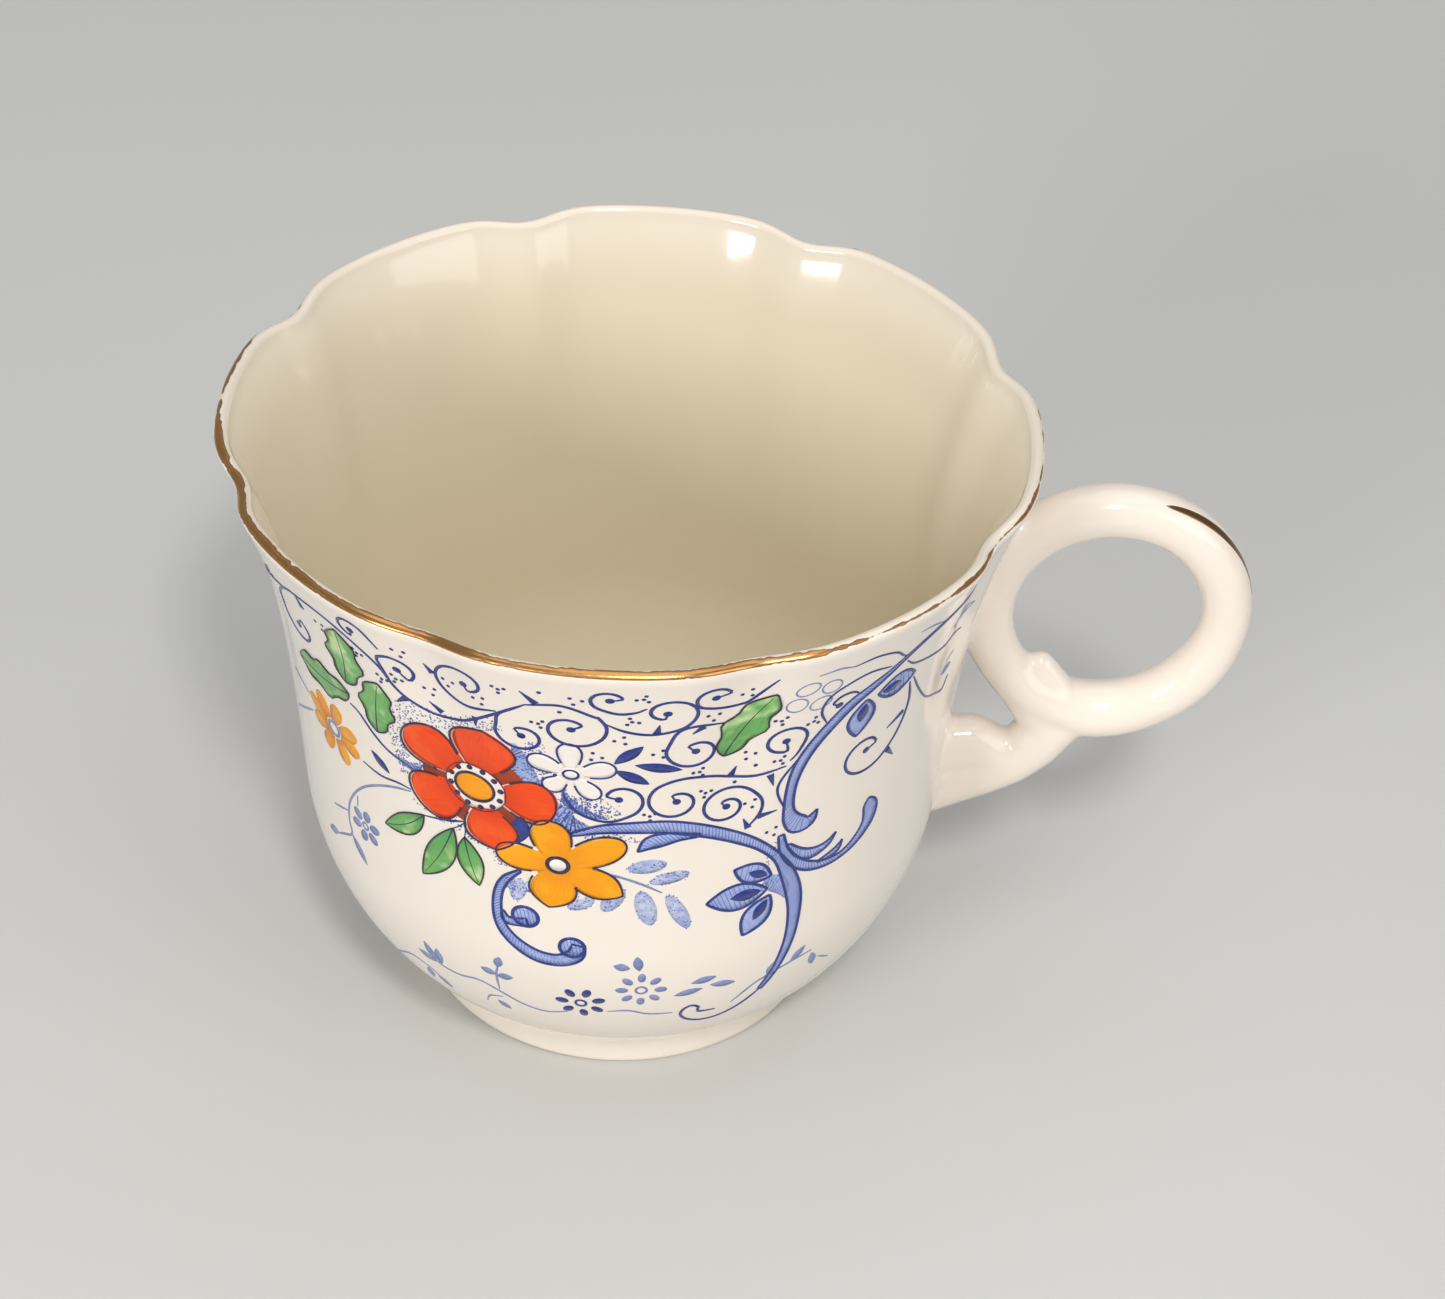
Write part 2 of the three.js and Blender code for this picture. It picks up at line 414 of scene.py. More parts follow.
def gold(name, wear, bright=GOLD):
    """Rubbed gilding: bright where it is whole, brown at its edges, gone where hands have worn it."""
    finish = Finish(name, IOR=1.45)
    place = finish.place()
    sideways = finish.node("ShaderNodeSeparateXYZ", inputs={0: place}, output="X")
    back = finish.node("ShaderNodeSeparateXYZ", inputs={0: place}, output="Y")
    across = finish.node("ShaderNodeAttribute", {"attribute_name": "across"}, output="Fac")
    middle = 1.0 - (across - 0.42).size() * 2.0
    rubbed = finish.grain(140.0, 4.0, 0.7)
    brushed = finish.grain(1100.0, 2.0)
    far = finish.spread(back, -0.008, 0.022)
    right = finish.spread(sideways, -0.015, 0.012) * (1.0 - far)
    cover = rubbed + brushed * 0.1 + middle * 0.22 - far * 0.34 - right * 0.10 - wear
    there = finish.spread(cover, 0.55, 0.58)
    whole = finish.spread(cover, 0.56, 0.70)
    return finish.surface(
        Base_Color=finish.blend(whole, GOLD_EDGE, bright),
        Metallic=0.3 + 0.7 * whole,
        Roughness=0.42 - 0.22 * whole + 0.1 * brushed,
        Alpha=there,
        Normal=finish.bumped(brushed, 0.2, 0.03),
    )


# ---------------------------------------------------------------- bowl and foot

def make_bowl(material):
    lip = []
    for i in range(1, LIP_STEPS):
        angle = math.pi * i / LIP_STEPS
        lip.append((LIP_MIDDLE[0] + LIP / 2 * math.cos(angle), LIP_MIDDLE[1] + LIP / 2 * math.sin(angle)))
    inner_foot = FOOT_RADIUS - FOOT_WALL
    under = [(0, RECESS_DEPTH), (inner_foot * 0.5, RECESS_DEPTH), (inner_foot - 0.6, RECESS_DEPTH),
             (inner_foot - 0.1, RECESS_DEPTH + 0.2), (inner_foot + 0.4, FOOT_HEIGHT - 0.4)]
    floor = [(FLOOR[0] * f, FLOOR[1]) for f in (0.75, 0.5, 0.25, 0)]
    bm = spun(under + outside_profile(40) + lip + inside_profile(38) + floor, closed=False)
    tint_and_shade = bm.verts.layers.float.new("tint_and_shade")
    for vert in bm.verts:
        x, y, z = vert.co.x / MM - AXIS_X, vert.co.y / MM, vert.co.z / MM
        radius = math.hypot(x, y)
        # Within the cup the deeper tint is partly the glaze's own tone and partly painted shade. It eases
        # off over the top 9 mm, which is painted light towards the rim, and the top of the lip takes a
        # little of it.
        if z > FLOOR[1] - 0.1:
            depth = outside_radius(z) - radius
            vert[tint_and_shade] = max(
                smoothstep(depth, 0.9, 1.5) * (1 - 0.55 * smoothstep(z, HEIGHT - 9, HEIGHT - 1)),
                0.4 * smoothstep(z, HEIGHT - 0.7, HEIGHT - 0.2),
            )
        else:
            # Under the bowl it is painted shade, over the recess and in the crease just above the foot.
            vert[tint_and_shade] = 1 - smoothstep(z, FOOT_HEIGHT + 0.1, FOOT_HEIGHT + 1.5)
        vert.co = scalloped(radius, math.atan2(y, x), z)
    finish_piece("bowl_body", bm, material, ["bowl"])


def make_foot(material):
    inner = FOOT_RADIUS - FOOT_WALL
    profile = [
        (inner + 0.5, 0.05), (inner + 1.0, 0), (FOOT_RADIUS - 0.8, 0), (FOOT_RADIUS - 0.3, 0.08),
        (FOOT_RADIUS - 0.05, 0.35), (FOOT_RADIUS, 0.8), (FOOT_RADIUS, 1.8), (FOOT_RADIUS, 2.6),
        (FOOT_RADIUS - 0.02, 3.2), (FOOT_RADIUS - 0.14, 3.65), (FOOT_RADIUS - 0.4, 4.0),
        (FOOT_RADIUS - 0.55, FOOT_HEIGHT + 0.1), (FOOT_RADIUS - 1.2, FOOT_HEIGHT + 0.15),
        (inner + 0.3, FOOT_HEIGHT), (inner - 0.1, 2.6), (inner, 1.2), (inner + 0.15, 0.4),
    ]
    bm = spun(profile, closed=True)
    tint_and_shade = bm.verts.layers.float.new("tint_and_shade")
    for vert in bm.verts:
        # The top millimetre of the foot ring gets the deeper tint: painted shade in the crease under the
        # belly.
        vert[tint_and_shade] = smoothstep(vert.co.z / MM, FOOT_HEIGHT - 1.0, FOOT_HEIGHT)
    finish_piece("foot_ring_body", bm, material, ["foot_ring"])


# ---------------------------------------------------------------- handle

def bars(bm, path):
    """Balls at the points of a path, each (reach, height, radius, side), with tapered bars between them."""
    spots = [
        (Vector((AXIS_X + reach, sum(side), height)) * MM, radius * MM)
        for reach, height, radius, *side in path
    ]
    for centre, radius in spots:
        bmesh.ops.create_icosphere(bm, subdivisions=3, radius=radius, matrix=Matrix.Translation(centre))
    for (start, r0), (end, r1) in zip(spots, spots[1:]):
        turn = (end - start).to_track_quat("Z", "Y").to_matrix().to_4x4()
        bmesh.ops.create_cone(
            bm,
            cap_ends=True,
            segments=32,
            radius1=r0,
            radius2=r1,
            depth=(end - start).length,
            matrix=Matrix.Translation((start + end) / 2) @ turn,
        )


def skirt(height, half_height, half_width, radius):
    """A soft bead round a root, where the handle is luted to the wall."""
    points = []
    for i in range(37):
        angle = math.tau * i / 36
        z = height + half_height * math.sin(angle)
        y = half_width * math.cos(angle)
        points.append((math.sqrt((outside_radius(z) - BEAD_DEPTH) ** 2 - y * y), z, radius, y))
    return points


def root_pad(bm, height, half_height, half_width):
    """A thin pad on the wall's own curve, which softening draws up round the root as a fillet."""
    outer = bmesh.ops.create_grid(bm, x_segments=16, y_segments=32, size=1.0)["verts"]
    faces = {face for vert in outer for face in vert.link_faces}
    for vert in outer:
        u, v = vert.co.x, vert.co.y
        z = height + half_height * v * math.sqrt(1 - u * u / 2)
        radius = outside_radius(z)
        vert.co = scalloped(radius, half_width * u * math.sqrt(1 - v * v / 2) / radius, z)
    for part in bmesh.ops.extrude_face_region(bm, geom=list(faces))["geom"]:
        if isinstance(part, bmesh.types.BMVert):
            part.co -= (part.co - Vector((AXIS_X * MM, 0, part.co.z))).normalized() * PAD * MM


# round the ring from its outer side: degrees, section radius, shift outwards
RING_SHAPE = [(0, 2.6, 0.25), (45, 2.75, 0.1), (90, 2.87, 0), (180, 2.85, 0), (215, 2.6, -0.2),
              (240, 2.8, 0), (270, 3.1, 0.25), (310, 2.9, 0.15), (360, 2.6, 0.25)]


def ring_at(degrees):
    """Middle of the ring's section, its outward direction and its radius."""
    degrees %= 360
    for (d0, r0, s0), (d1, r1, s1) in zip(RING_SHAPE, RING_SHAPE[1:]):
        if d0 <= degrees <= d1:
            t = smoothstep(degrees, d0, d1)
            section, shift = r0 + (r1 - r0) * t, s0 + (s1 - s0) * t
    way = Vector((math.cos(math.radians(degrees)), 0, math.sin(math.radians(degrees))))
    outward = Vector((way.x / RING_HALF_WIDTH, 0, way.z / RING_HALF_HEIGHT)).normalized()
    middle = Vector((RING_REACH + RING_HALF_WIDTH * way.x, 0, RING_HEIGHT + RING_HALF_HEIGHT * way.z))
    return middle + outward * shift, outward, section


def ring_path():
    points = []
    for i in range(73):
        middle, _, section = ring_at(i * 5)
        points.append((middle.x, middle.z, section + 0.1))
    return points


# runs of balls: (reach from the bowl's axis, height, radius)
ARM_LOWER = [(47.3, 32.0, 2.8), (45.2, 28.9, 2.8), (42.6, 26.5, 2.8), (39.8, 25.0, 2.85), (37.0, 23.8, 2.9),
             (33.6, 22.3, 3.0)]
ARM_UPPER = [(45.2, 31.0, 2.6), (43.2, 27.4, 2.6), (41.2, 27.4, 2.6), (39.6, 28.7, 2.6), (38.0, 29.6, 2.6),
             (36.2, 29.4, 2.65), (33.6, 29.0, 2.7)]
ARM_WEB = [(42.5, 27.0, 2.7), (38.5, 28.0, 2.75), (36.2, 27.8, 2.8), (33.6, 27.2, 2.9)]
ARM_FILL = [(42.0, 26.6, 2.8), (38.5, 26.0, 2.85), (36.2, 25.4, 2.9), (33.6, 24.8, 3.0)]
KNOB = [(44.7, 40.0, 1.5), (46.4, 37.1, 1.9)]
STRUT = [(40.3, 40.9, 2.4), (43.0, 36.4, 2.5), (45.6, 32.2, 2.6)]
RING_JOIN = [(37.9, 46.0, 2.4), (38.3, 50.0, 2.8), (39.2, 54.0, 2.9), (40.2, 57.5, 2.7)]


def make_handle(material):
    bm = bmesh.new()
    root_pad(bm, ARM_ROOT, half_height=9.2, half_width=6.0)
    root_pad(bm, RING_ROOT, half_height=11.6, half_width=5.6)
    for path in (
        ring_path(), ARM_LOWER, ARM_UPPER, ARM_WEB, ARM_FILL, STRUT, KNOB, RING_JOIN,
        skirt(ARM_ROOT, half_height=6.2, half_width=3.0, radius=0.95),
        skirt(RING_ROOT, half_height=8.6, half_width=2.6, radius=0.8),
    ):
        bars(bm, path)
    piece = finish_piece("handle_casting", bm, material, ["finger_ring", "lower_arm"])
    remesh = piece.modifiers.new("one casting", "REMESH")
    remesh.mode = "VOXEL"
    remesh.voxel_size = 0.3 * MM
    remesh.use_smooth_shade = True
    soften = piece.modifiers.new("softened", "SMOOTH")
    soften.factor = 0.5
    soften.iterations = 28
    depsgraph = bpy.context.evaluated_depsgraph_get()
    cast = bpy.data.meshes.new_from_object(piece.evaluated_get(depsgraph))
    piece.modifiers.clear()
    piece.data = cast
    tuck_into_wall(cast)
    return piece


def tuck_into_wall(mesh):
    """Sinks the pads under the glaze, so that only the fillets stand proud, and keeps clear of the tea."""
    for vert in mesh.vertices:
        proud = off_wall(vert.co)
        sunk = max(proud - PRESSED * (1 - smoothstep(proud, 0.02, PRESSED)), -PAD)
        away = (vert.co - Vector((AXIS_X * MM, 0, vert.co.z))).normalized()
        vert.co += away * (sunk - proud) * MM


# ---------------------------------------------------------------- drawing on the unrolled wall

def curve_through(points, spacing=0.4):
    """A smooth run through (along, up, half width) points, at an even spacing."""
    knots = [Vector(p) for p in points]
    knots = [knots[0] * 2 - knots[1]] + knots + [knots[-1] * 2 - knots[-2]]
    run = []
    for a, b, c, d in zip(knots, knots[1:], knots[2:], knots[3:]):
        steps = max(2, round((c - b).xy.length / spacing))
        for i in range(steps):
            t = i / steps
            run.append((
                b * 2 + (c - a) * t + (a * 2 - b * 5 + c * 4 - d) * t ** 2
                + (b * 3 - a - c * 3 + d) * t ** 3
            ) / 2)
    run.append(knots[-2])
    return [(p.x, p.y, max(p.z, 0.0)) for p in run]


def with_width(points, half_width):
    return [(x, y, half_width) for x, y in points]


def shaped(base, tip, half_width, outline, bend=0.0):
    """A leaf or petal from base to tip; outline(t) gives its width, packed closely at both ends."""
    base, tip = Vector(base), Vector(tip)
    side = Vector((base.y - tip.y, tip.x - base.x)).normalized()
    samples = []
    for i in range(21):
        t = (1 - math.cos(math.pi * i / 20)) / 2
        point = base.lerp(tip, t) + side * bend * hump(t)
        samples.append((point.x, point.y, half_width * outline(t)))
    return samples


def hump(t):
    """0 at both ends of 0..1, 1 in the middle."""
    return max(0.0, math.sin(math.pi * t))


def pointed(t):
    return hump(t) ** 0.85


def oval(t):
    return math.sqrt(max(0.0, 1 - (2 * t - 1) ** 2))


def rounded(t):
    swell = 0.5 + 0.5 * math.sin(math.pi / 2 * min(t / 0.6, 1))
    return swell * math.sqrt(max(0.0, 1 - (max(0.0, t - 0.6) / 0.4) ** 2))


def peaked(t):
    swell = 0.45 + 0.55 * math.sin(math.pi / 2 * min(t / 0.55, 1))
    return swell * (1 - max(0.0, (t - 0.55) / 0.45) ** 2.2) ** 0.9


def lobed(t):
    return hump(t) ** 0.6 * (1 + 0.16 * math.sin(5.5 * math.pi * t))


def petal(centre, degrees, inner, outer, half_width, outline=rounded):
    way = Vector((math.cos(math.radians(degrees)), math.sin(math.radians(degrees))))
    centre = Vector(centre)
    return shaped(centre + way * inner, centre + way * outer, half_width, outline)


def disc(centre, half_width, half_height=None, degrees=0.0):
    half_height = half_height or half_width
    way = Vector((math.cos(math.radians(degrees)), math.sin(math.radians(degrees)))) * half_width
    centre = Vector(centre)
    return shaped(centre - way, centre + way, half_height, oval)


def sides(samples):
    """The left and right edge of a stroke, point by point."""
    left, right = [], []
    last = len(samples) - 1
    for i, (x, y, half) in enumerate(samples):
        before, after = samples[max(i - 1, 0)], samples[min(i + 1, last)]
        way = Vector((after[0] - before[0], after[1] - before[1])).normalized()
        left.append((x - way.y * half, y + way.x * half))
        right.append((x + way.y * half, y - way.x * half))
    return left, right


def outline_of(samples, half_width, open_root=0):
    """A line round a stroke; with open_root it leaves out that many samples at the root."""
    left, right = sides(samples)
    if open_root:
        return with_width(left[open_root:] + right[:open_root - 1:-1], half_width)
    return with_width(left + right[::-1] + left[:1], half_width)


def moved(samples, along, up, scale):
    """A stroke shifted on the wall and scaled in width."""
    return [(x + along, y + up, half * scale) for x, y, half in samples]


def curl(centre, start, sweep, inner, outer):
    """A spiral from a dot outwards."""
    steps = max(6, round(abs(sweep) / 30))
    points = [centre]
    for i in range(steps + 1):
        angle = math.radians(start + sweep * i / steps)
        radius = inner + (outer - inner) * i / steps
        points.append((centre[0] + radius * math.cos(angle), centre[1] + radius * math.sin(angle)))
    return points


class Layer:
    """One colour of the decoration: strokes drawn flat, then wrapped on the front and the back."""

    def __init__(self, name, material, slot, lift, raised=False):
        self.name = name
        self.material = material
        self.slot = slot
        self.lift = lift
        self.raised = raised
        self.random = random.Random(7)
        self.bm = bmesh.new()
        self.bm.loops.layers.uv.new("drawn")

    def fill(self, samples, columns=1, dome=0.0):
        """Paints a stroke; with a dome it stands up in the middle, as thick enamel does."""
        rows = len(samples) - 1
        left, right = sides(samples)
        made = bmesh.ops.create_grid(
            self.bm, x_segments=columns, y_segments=rows, size=1.0, calc_uvs=True,
        )["verts"]
        for vert in made:
            across = (vert.co.x + 1) / 2
            i = round((vert.co.y + 1) / 2 * rows)
            rise = dome * (4 * across * (1 - across)) * hump(i / rows) ** 0.5
            (x0, y0), (x1, y1) = left[i], right[i]
            vert.co = (x0 + (x1 - x0) * across, y0 + (y1 - y0) * across, self.lift + rise)
        bmesh.ops.remove_doubles(self.bm, verts=made, dist=0.004)

    def line(self, points, half_width=0.16):
        """A pen line with fine ends."""
        run = curve_through(with_width(points, half_width), 0.45)
        last = len(run) - 1
        for i, (x, y, half) in enumerate(run):
            fine = min(i, last - i) / 4
            run[i] = (x, y, half * min(1.0, 0.45 + 0.55 * fine))
        self.fill(run)

    def brush(self, points, columns=2):
        """A band of changing width."""
        run = curve_through(points)
        self.fill(run, columns)
        return run

    def dot(self, centre, radius, corners=10):
        bmesh.ops.create_circle(
            self.bm,
            cap_ends=True,
            segments=corners,
            radius=radius,
            matrix=Matrix.Translation((centre[0], centre[1], self.lift)),
            calc_uvs=True,
        )

    def edge(self, samples, half_width=0.15, open_root=0):
        """A line round a stroke, open at the root if asked."""
        self.fill(outline_of(samples, half_width, open_root))

    def hatch(self, samples, pitch=0.36, slant=2, half_width=0.04):
        """Fine parallel strokes across a band, from its left edge to its right."""
        left, right = sides(samples)
        run = 0.0
        for i in range(1, len(samples) - slant):
            run += math.dist(samples[i][:2], samples[i - 1][:2])
            if run < pitch or samples[i][2] < 0.12:
                continue
            run = 0.0
            self.fill(with_width([left[i], right[i + slant]], half_width))

    def stipple(self, samples, count, radius):
        """Loose dots, scattered evenly over a stroke."""
        left, right = sides(samples)
        widest = max(half for _, _, half in samples)
        for _ in range(count):
            i = self.random.randrange(len(samples))
            across = self.random.uniform(0.02, 0.98)
            if self.random.random() * widest > samples[i][2]:
                continue
            (x0, y0), (x1, y1) = left[i], right[i]
            spot = (
                x0 + (x1 - x0) * across + self.random.gauss(0, 0.12),
                y0 + (y1 - y0) * across + self.random.gauss(0, 0.12),
            )
            self.dot(spot, radius * self.random.uniform(0.7, 1.3), 6)

    def wrap(self):
        """Lays the flat drawing on the wall twice, half a turn apart."""
        for side, turn in (("front", 0.0), ("back", math.pi)):
            bm = self.bm.copy()
            for vert in bm.verts:
                vert.co = on_wall(*vert.co, turn)
            finish_piece(
                f"{self.name}_{side}",
                bm,
                self.material,
                smooth=self.raised,
                thickness=0.05 + self.lift,
            )
        self.bm.free()


# ---------------------------------------------------------------- what is drawn

CURLS = [
    # dot, start, sweep, inner and outer radius, then the tail
    ((-91.7, 59.5), 56, -254, 1.4, 2.6,
     [(-93.4, 63.1), (-91.2, 65.2), (-88.6, 66.1), (-85.7, 66.3), (-83.2, 65.6), (-80.9, 64.2),
      (-79.3, 62.6), (-78.3, 60.5), (-77, 59.1), (-74.7, 58.2), (-72, 58.6), (-69.9, 59.9), (-66.2, 63.2),
      (-64.8, 64.5)]),
    ((-81.4, 67.1), -101, -244, 1.0, 1.9, [(-78.7, 66)]),
    ((-77.4, 63.5), -53, 220, 1.45, 1.95, [(-78.4, 60.7)]),
    ((-70.5, 65.3), -72, 342, 1.0, 3.7, [(-67.6, 62.3)]),
    ((-65.5, 59.1), 121, -330, 1.1, 2.6, [(-67.5, 61.8), (-66.2, 63.2)]),
    ((-60.9, 61.3), 38, 369, 1.2, 3.4, [(-58.7, 63.7), (-61.6, 65.2), (-64.8, 64.5)]),
    ((-57.5, 66.8), 17, 222, 1.1, 1.8, [(-56.8, 64.5), (-55.3, 64.8), (-54.4, 65.5)]),
    ((-52.6, 64.5), -101, -330, 0.9, 3.1, [(-53.9, 61), (-56.1, 61.5), (-57.8, 62.6)]),
    ((-48.5, 66.4), 18, 212, 1.4, 1.8, [(-47.8, 64.4), (-45.9, 64.4), (-44.9, 65), (-43, 67.7)]),
    ((-49.7, 57.8), 131, -343, 1.1, 2.9, [(-51.5, 61.2), (-50.1, 61.9), (-47.2, 61.7)]),
    ((-56.6, 50.7), 160, -226, 1.2, 2.7, [(-57.7, 47.3), (-60.3, 48.2), (-61.6, 50.1), (-61.9, 51.4)]),
    ((-51.1, 50.2), 117, -355, 1.0, 3.0,
     [(-50.7, 53.6), (-48.1, 53.5), (-45.6, 52.8), (-43.3, 52.3), (-40.4, 52.8)]),
    ((-46, 48.4), 130, -450, 0.8, 3.0, [(-42.4, 48.5), (-42.4, 46.6), (-43.5, 44.8)]),
    ((-40.9, 56.8), -79, -299, 1.6, 2.1, [(-39.5, 54.3), (-40.1, 53.5)]),
    ((-36.1, 60.2), 144, -128, 0.9, 2.2, []),
    ((-30.7, 50.2), 23, 297, 1.25, 3.6, [(-26.5, 49.8), (-25.8, 52.3), (-25.9, 54.9), (-26.8, 57.8)]),
]

THORNS = [
    # short strokes off the curls, fine at the first end and blunt at the second
    [(-89.2, 66.1), (-88.9, 64.2)], [(-78.4, 58), (-77.3, 59.1)], [(-74.9, 59.9), (-73.7, 58.8)],
    [(-74.5, 66.3), (-73.8, 65)], [(-65.1, 66.8), (-63.8, 65)], [(-53.2, 62.6), (-53.4, 61.2)],
    [(-45.4, 54.3), (-45.9, 53)], [(-41.4, 50.2), (-41.9, 52)], [(-44.1, 46.1), (-43.5, 44.6)],
    [(-28.3, 51.9), (-26.2, 53.1)], [(-26, 46.6), (-27.3, 48.2)], [(-70, 58.8), (-69.9, 60.2)],
    [(-50.2, 60.7), (-49.2, 61.7)], [(-40.6, 46.3), (-42.6, 46)],
]

CLUSTERS = [
    # middles of groups of three dots, some with a fourth between them
    (-76.6, 66.8), (-74.5, 61.8), (-81.8, 63.1), (-79.5, 60.7), (-77.8, 61.8), (-72.3, 64.4), (-69.1, 63.4),
    (-67, 66.3), (-63.8, 61.6), (-60.4, 66.3), (-54.7, 67.2), (-55.6, 63.2), (-56.5, 60), (-58.8, 57.2),
    (-53, 57.8), (-48.4, 63.1), (-49.1, 54.4), (-53.6, 48.2), (-48.3, 51), (-45.4, 66.1), (-41.8, 60.3),
    (-38.5, 58.9), (-44.3, 55.7), (-41.1, 53.9), (-43.5, 48.2), (-40.8, 43.2), (-86.5, 63.6), (-94.6, 64.9),
]

SINGLE_DOTS = [(-63.4, 67.1), (-61.8, 64.1), (-43.5, 53.9), (-45.4, 51.9), (-62.6, 53.7)]

TENDRILS = [
    [(-36, 66.5), (-33.6, 66.6), (-31.2, 65.6), (-29.9, 64.2), (-29, 63.4)],
    [(-28.8, 62.5), (-27.2, 61), (-24, 59.9), (-20.2, 59), (-16.1, 57.5)],
    [(-26.5, 58.4), (-24.4, 55), (-22.1, 52.2), (-19.2, 50.4), (-16.8, 49.2), (-15.9, 50.6)],
]

BLUE_LEAVES = [
    # base and tip
    ((-57.1, 56.2), (-54.5, 59.1)), ((-55.2, 56.1), (-50.8, 55.1)), ((-57, 55.2), (-53.8, 53.1)),
]

BANDS = [
    # the big scrolls: (along, up, half width)
    [(-61.2, 45, 0.2), (-58.4, 46.1, 0.55), (-55.2, 46.5, 0.75), (-52, 46.5, 0.85), (-49.3, 45.8, 0.85),
     (-46.5, 44.6, 0.75), (-43.8, 43, 0.65), (-41.6, 41.2, 0.5), (-39.7, 38.9, 0.5), (-38.3, 36.1, 0.8),
     (-37.3, 33, 0.9), (-36.9, 29.9, 0.75), (-37.1, 26.2, 0.6), (-38.1, 21.7, 0.45), (-39.4, 18.1, 0.3)],
    [(-54.6, 43, 0.05), (-53.4, 44.2, 0.85), (-52, 44.7, 0.85), (-50.4, 44.9, 0.5), (-48.5, 44.8, 0.2)],
    [(-17.5, 66.9, 0.08), (-22, 66.6, 0.15), (-26, 65.3, 0.2), (-29, 63.5, 0.28), (-31, 62, 0.45),
     (-32.8, 60.8, 0.65), (-34.6, 59.5, 0.75),
     (-36.4, 57.2, 0.7), (-38, 54.6, 0.65), (-39, 51.9, 0.6), (-39.4, 49, 0.5), (-39.3, 46, 0.55),
     (-38.8, 44.3, 0.9), (-37.8, 43.1, 1.15), (-36.5, 43.1, 0.75), (-35.8, 44.3, 0.05)],
    [(-39.7, 42.2, 0.3), (-39.1, 39.8, 0.5), (-37.7, 37.6, 0.6), (-35.8, 36.1, 0.6), (-33.4, 35.4, 0.45),
     (-31.2, 35.6, 0.4), (-29.4, 36.6, 0.6), (-28.1, 38.2, 0.85), (-27.9, 39.8, 1), (-28.3, 41.1, 0.8),
     (-28.5, 41.9, 0.1)],
    [(-38.7, 40.4, 0.2), (-37.2, 38.7, 0.55), (-35.8, 37.9, 0.7), (-34.4, 38, 0.5), (-33.4, 38.5, 0.3),
     (-32.7, 39.4, 0.03)],
    [(-34.6, 36.1, 0.1), (-33.4, 36.3, 0.3), (-32.2, 36.7, 0.4), (-31.6, 37.7, 0.03)],
    [(-66.6, 38.4, 0.15), (-68.2, 36.7, 0.4), (-69.1, 34.5, 0.45), (-69.3, 31.6, 0.5), (-68.7, 29.3, 0.6),
     (-67.1, 27.5, 0.7), (-64.9, 26.3, 0.8), (-62.6, 26.2, 0.8), (-60.9, 27.2, 0.9), (-60.5, 28.7, 0.7)],
    [(-68.7, 32, 0.1), (-68.3, 30.8, 0.5), (-67, 30.8, 0.5), (-66, 31, 0.6)],
]

DROPS = [
    # root, tip, half width of the body; the dark core follows the same line
    ((-32.7, 59), (-32.7, 53.5), 1.55), ((-31.3, 59), (-26.6, 59.2), 1.7),
    ((-40.3, 36.6), (-44.5, 38.7), 1.35), ((-40.6, 34.8), (-47.2, 34.4), 1.85),
    ((-40.2, 33.7), (-42.9, 28.7), 1.55),
]

GREEN_LEAVES = [
    # base, tip, half width, outline, bend
    ((-77.4, 41.8), (-83, 37.4), 1.35, pointed, 0.5), ((-73.9, 41.7), (-78.2, 33.05), 1.6, pointed, 0.4),
    ((-72.6, 41), (-71.2, 34.7), 1.45, pointed, -0.2), ((-85.2, 56.2), (-84, 65), 2.2, lobed, -0.3),
    ((-85.4, 54.3), (-94.4, 53.3), 2.1, lobed, 0.4), ((-82, 51.2), (-80.3, 59.4), 2, lobed, 0.2),
    ((-46.9, 56.35), (-42.85, 65), 2.15, lobed, 0.2),
]

STIPPLED_LEAVES = [
    # centre, half length, half width, degrees
    ((-53.6, 40.7), 2.0, 1.0, 10), ((-51.3, 38.9), 2.1, 0.85, 15), ((-53.6, 34.6), 2.6, 1.1, -76),
    ((-50.2, 33.8), 2.8, 0.9, -65), ((-57, 35.8), 2.0, 1.0, 60), ((-66.9, 35.6), 1.7, 0.9, 80),
    ((-65.6, 36.4), 1.3, 0.7, 40), ((-60.3, 34.9), 1.6, 0.8, 30), ((-67.8, 36.4), 1.1, 0.6, 110),
]

GROUNDS = [
    # close hatching beside the red flower, under the white one, and where the dark leaves root
    [(-66.4, 57.6, 0.2), (-65.9, 55.6, 0.8), (-65.5, 53, 1.2), (-65.2, 50, 1.5), (-65.8, 47.5, 1.4),
     (-66.6, 44.5, 1.2), (-67, 42.6, 0.3)],
    [(-64.6, 48.6, 0.9), (-63, 47.9, 1.7), (-61.4, 46.6, 1.2), (-59.4, 46.2, 0.3)],
    [(-61.9, 51.5, 0.2), (-61.3, 49.6, 0.6), (-59.8, 48.4, 0.5), (-57.8, 47.8, 0.2)],
    [(-77, 48.4, 1.0), (-78.6, 48.4, 0.5), (-80, 48.7, 0.1)],
]

SHADES = [
    # loose dots only: (along, up, half width) and how many
    ([(-79.2, 46.5, 0.4), (-79.2, 50, 1.0), (-79, 53, 1.3), (-78, 56.6, 1.5), (-75.2, 57.3, 1.3),
      (-72.4, 57.4, 1.3), (-70, 59, 1.1), (-67.6, 60, 0.9)], 520),
    ([(-64.4, 58, 0.8), (-64.4, 54, 1.2), (-63.6, 50, 1.6), (-62, 47.5, 1.4)], 420),
    ([(-61.4, 50.6, 0.6), (-60, 49.4, 1.4), (-58, 49.2, 1.4), (-56.6, 48.4, 0.8)], 260),
    ([(-78.5, 43.4, 0.3), (-74.5, 42.9, 1.0), (-70, 41, 0.8), (-68, 39, 0.9)], 200),
    ([(-59.5, 44.6, 0.5), (-57, 45, 0.6), (-54.5, 44.6, 0.2)], 90),
    ([(-39.8, 41.6, 0.3), (-41, 38, 0.5), (-40.2, 35, 0.9)], 90),
]

